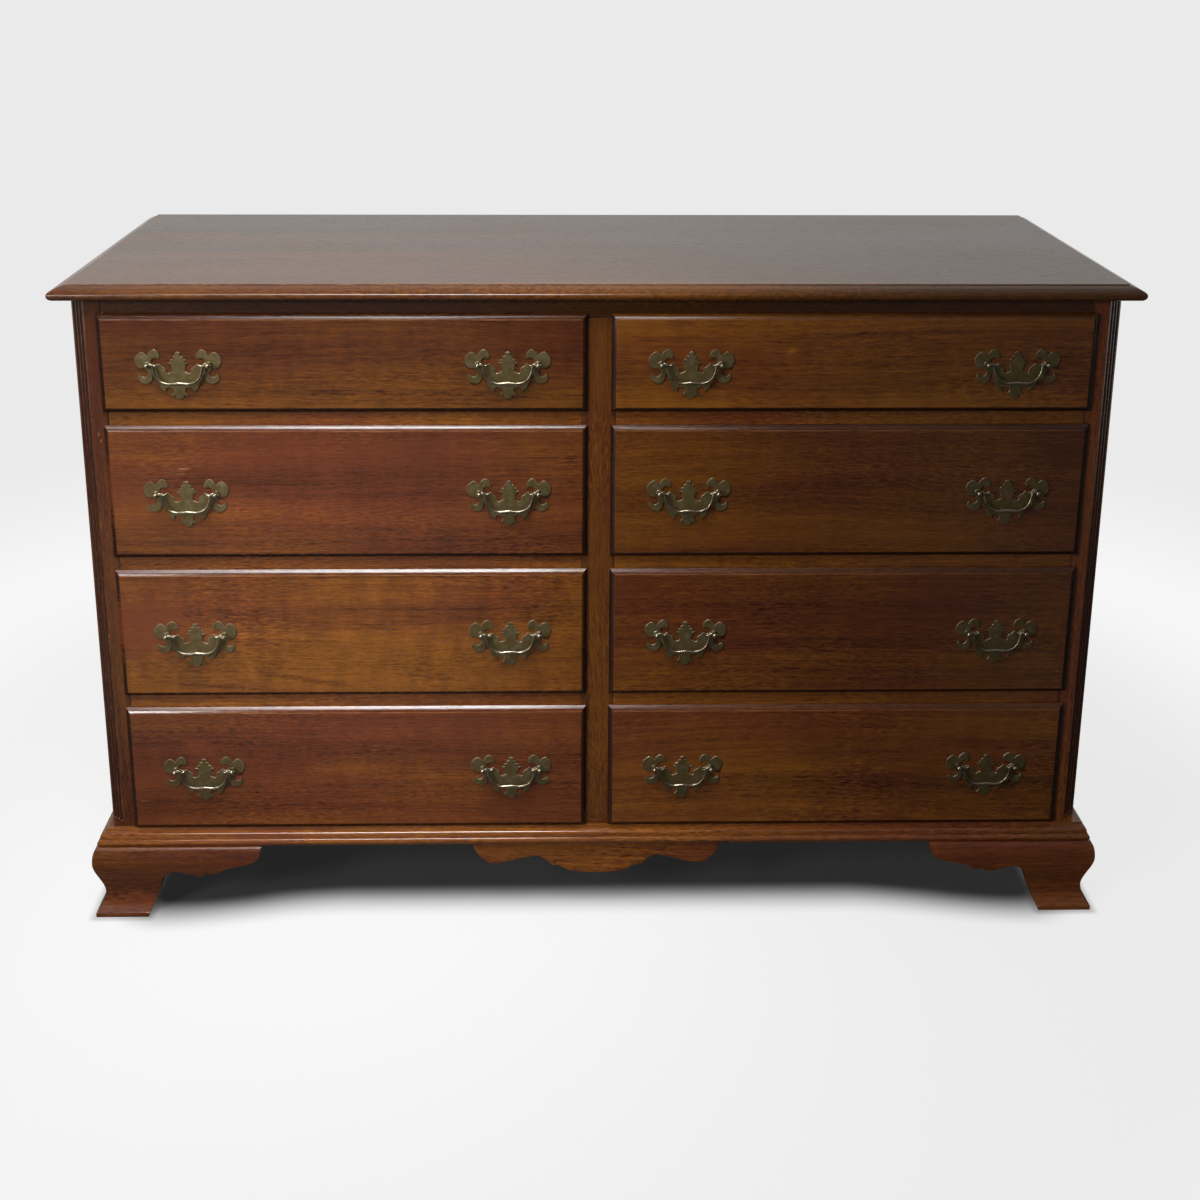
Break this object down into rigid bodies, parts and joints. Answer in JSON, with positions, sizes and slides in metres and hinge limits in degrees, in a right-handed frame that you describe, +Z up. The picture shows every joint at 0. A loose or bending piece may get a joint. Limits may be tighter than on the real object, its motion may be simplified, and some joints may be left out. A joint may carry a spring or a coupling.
{
  "type": "double dresser",
  "caption": "Low, wide dresser with two columns of lipped drawers, swinging brass bail pulls, fluted canted corners, moulded top and base, and ogee bracket feet.",
  "frame": {"origin": "on the floor, under the middle of the dresser's width and depth", "axes": "+X to the right as one faces the drawers, +Y towards the back, +Z up; the drawers face -Y"},
  "size_m": [1.3756, 0.5354, 0.885],
  "materials": {
    "mahogany": "red-brown mahogany, satin lacquer",
    "drawer_wood": "plain secondary hardwood, unpolished",
    "back_plywood": "raw plywood sheet",
    "brass": "antiqued brass, satin"
  },
  "bodies": {
    "case": {"top_board": "mahogany", "face_frame": "mahogany", "left_side_panel": "mahogany", "right_side_panel": "mahogany", "centre_partition": "drawer_wood", "back_panel": "back_plywood", "base_moulding": "mahogany", "front_left_foot": "mahogany", "front_right_foot": "mahogany", "rear_left_foot": "mahogany", "rear_right_foot": "mahogany", "centre_drop": "mahogany"},
    "drawer_left_1": {"drawer_front_left_1": "mahogany", "drawer_box_left_1": "drawer_wood", "backplate_left_1a": "brass", "backplate_left_1b": "brass"},
    "bail_left_1a": {"bail_left_1a": "brass"},
    "bail_left_1b": {"bail_left_1b": "brass"},
    "drawer_left_2": {"drawer_front_left_2": "mahogany", "drawer_box_left_2": "drawer_wood", "backplate_left_2a": "brass", "backplate_left_2b": "brass"},
    "bail_left_2a": {"bail_left_2a": "brass"},
    "bail_left_2b": {"bail_left_2b": "brass"},
    "drawer_left_3": {"drawer_front_left_3": "mahogany", "drawer_box_left_3": "drawer_wood", "backplate_left_3a": "brass", "backplate_left_3b": "brass"},
    "bail_left_3a": {"bail_left_3a": "brass"},
    "bail_left_3b": {"bail_left_3b": "brass"},
    "drawer_left_4": {"drawer_front_left_4": "mahogany", "drawer_box_left_4": "drawer_wood", "backplate_left_4a": "brass", "backplate_left_4b": "brass"},
    "bail_left_4a": {"bail_left_4a": "brass"},
    "bail_left_4b": {"bail_left_4b": "brass"},
    "drawer_right_1": {"drawer_front_right_1": "mahogany", "drawer_box_right_1": "drawer_wood", "backplate_right_1a": "brass", "backplate_right_1b": "brass"},
    "bail_right_1a": {"bail_right_1a": "brass"},
    "bail_right_1b": {"bail_right_1b": "brass"},
    "drawer_right_2": {"drawer_front_right_2": "mahogany", "drawer_box_right_2": "drawer_wood", "backplate_right_2a": "brass", "backplate_right_2b": "brass"},
    "bail_right_2a": {"bail_right_2a": "brass"},
    "bail_right_2b": {"bail_right_2b": "brass"},
    "drawer_right_3": {"drawer_front_right_3": "mahogany", "drawer_box_right_3": "drawer_wood", "backplate_right_3a": "brass", "backplate_right_3b": "brass"},
    "bail_right_3a": {"bail_right_3a": "brass"},
    "bail_right_3b": {"bail_right_3b": "brass"},
    "drawer_right_4": {"drawer_front_right_4": "mahogany", "drawer_box_right_4": "drawer_wood", "backplate_right_4a": "brass", "backplate_right_4b": "brass"},
    "bail_right_4a": {"bail_right_4a": "brass"},
    "bail_right_4b": {"bail_right_4b": "brass"}
  },
  "joints": [
    {"name": "drawer_left_1_slide", "type": "slide", "parent": "case", "child": "drawer_left_1", "axis": [0, -1, 0], "range_m": [0, 0.36]},
    {"name": "bail_left_1a_hinge", "type": "hinge", "parent": "drawer_left_1", "child": "bail_left_1a", "pos_m": [-0.5296, -0.2618, 0.7836], "axis": [-1, 0, 0], "range_deg": [0, 110]},
    {"name": "bail_left_1b_hinge", "type": "hinge", "parent": "drawer_left_1", "child": "bail_left_1b", "pos_m": [-0.116, -0.2618, 0.7836], "axis": [-1, 0, 0], "range_deg": [0, 110]},
    {"name": "drawer_left_2_slide", "type": "slide", "parent": "case", "child": "drawer_left_2", "axis": [0, -1, 0], "range_m": [0, 0.36]},
    {"name": "bail_left_2a_hinge", "type": "hinge", "parent": "drawer_left_2", "child": "bail_left_2a", "pos_m": [-0.5296, -0.2618, 0.6122], "axis": [-1, 0, 0], "range_deg": [0, 110]},
    {"name": "bail_left_2b_hinge", "type": "hinge", "parent": "drawer_left_2", "child": "bail_left_2b", "pos_m": [-0.116, -0.2618, 0.6122], "axis": [-1, 0, 0], "range_deg": [0, 110]},
    {"name": "drawer_left_3_slide", "type": "slide", "parent": "case", "child": "drawer_left_3", "axis": [0, -1, 0], "range_m": [0, 0.36]},
    {"name": "bail_left_3a_hinge", "type": "hinge", "parent": "drawer_left_3", "child": "bail_left_3a", "pos_m": [-0.5296, -0.2618, 0.4152], "axis": [-1, 0, 0], "range_deg": [0, 110]},
    {"name": "bail_left_3b_hinge", "type": "hinge", "parent": "drawer_left_3", "child": "bail_left_3b", "pos_m": [-0.116, -0.2618, 0.4152], "axis": [-1, 0, 0], "range_deg": [0, 110]},
    {"name": "drawer_left_4_slide", "type": "slide", "parent": "case", "child": "drawer_left_4", "axis": [0, -1, 0], "range_m": [0, 0.36]},
    {"name": "bail_left_4a_hinge", "type": "hinge", "parent": "drawer_left_4", "child": "bail_left_4a", "pos_m": [-0.5296, -0.2618, 0.2182], "axis": [-1, 0, 0], "range_deg": [0, 110]},
    {"name": "bail_left_4b_hinge", "type": "hinge", "parent": "drawer_left_4", "child": "bail_left_4b", "pos_m": [-0.116, -0.2618, 0.2182], "axis": [-1, 0, 0], "range_deg": [0, 110]},
    {"name": "drawer_right_1_slide", "type": "slide", "parent": "case", "child": "drawer_right_1", "axis": [0, -1, 0], "range_m": [0, 0.36]},
    {"name": "bail_right_1a_hinge", "type": "hinge", "parent": "drawer_right_1", "child": "bail_right_1a", "pos_m": [0.116, -0.2618, 0.7836], "axis": [-1, 0, 0], "range_deg": [0, 110]},
    {"name": "bail_right_1b_hinge", "type": "hinge", "parent": "drawer_right_1", "child": "bail_right_1b", "pos_m": [0.5296, -0.2618, 0.7836], "axis": [-1, 0, 0], "range_deg": [0, 110]},
    {"name": "drawer_right_2_slide", "type": "slide", "parent": "case", "child": "drawer_right_2", "axis": [0, -1, 0], "range_m": [0, 0.36]},
    {"name": "bail_right_2a_hinge", "type": "hinge", "parent": "drawer_right_2", "child": "bail_right_2a", "pos_m": [0.116, -0.2618, 0.6122], "axis": [-1, 0, 0], "range_deg": [0, 110]},
    {"name": "bail_right_2b_hinge", "type": "hinge", "parent": "drawer_right_2", "child": "bail_right_2b", "pos_m": [0.5296, -0.2618, 0.6122], "axis": [-1, 0, 0], "range_deg": [0, 110]},
    {"name": "drawer_right_3_slide", "type": "slide", "parent": "case", "child": "drawer_right_3", "axis": [0, -1, 0], "range_m": [0, 0.36]},
    {"name": "bail_right_3a_hinge", "type": "hinge", "parent": "drawer_right_3", "child": "bail_right_3a", "pos_m": [0.116, -0.2618, 0.4152], "axis": [-1, 0, 0], "range_deg": [0, 110]},
    {"name": "bail_right_3b_hinge", "type": "hinge", "parent": "drawer_right_3", "child": "bail_right_3b", "pos_m": [0.5296, -0.2618, 0.4152], "axis": [-1, 0, 0], "range_deg": [0, 110]},
    {"name": "drawer_right_4_slide", "type": "slide", "parent": "case", "child": "drawer_right_4", "axis": [0, -1, 0], "range_m": [0, 0.36]},
    {"name": "bail_right_4a_hinge", "type": "hinge", "parent": "drawer_right_4", "child": "bail_right_4a", "pos_m": [0.116, -0.2618, 0.2182], "axis": [-1, 0, 0], "range_deg": [0, 110]},
    {"name": "bail_right_4b_hinge", "type": "hinge", "parent": "drawer_right_4", "child": "bail_right_4b", "pos_m": [0.5296, -0.2618, 0.2182], "axis": [-1, 0, 0], "range_deg": [0, 110]}
  ]
}
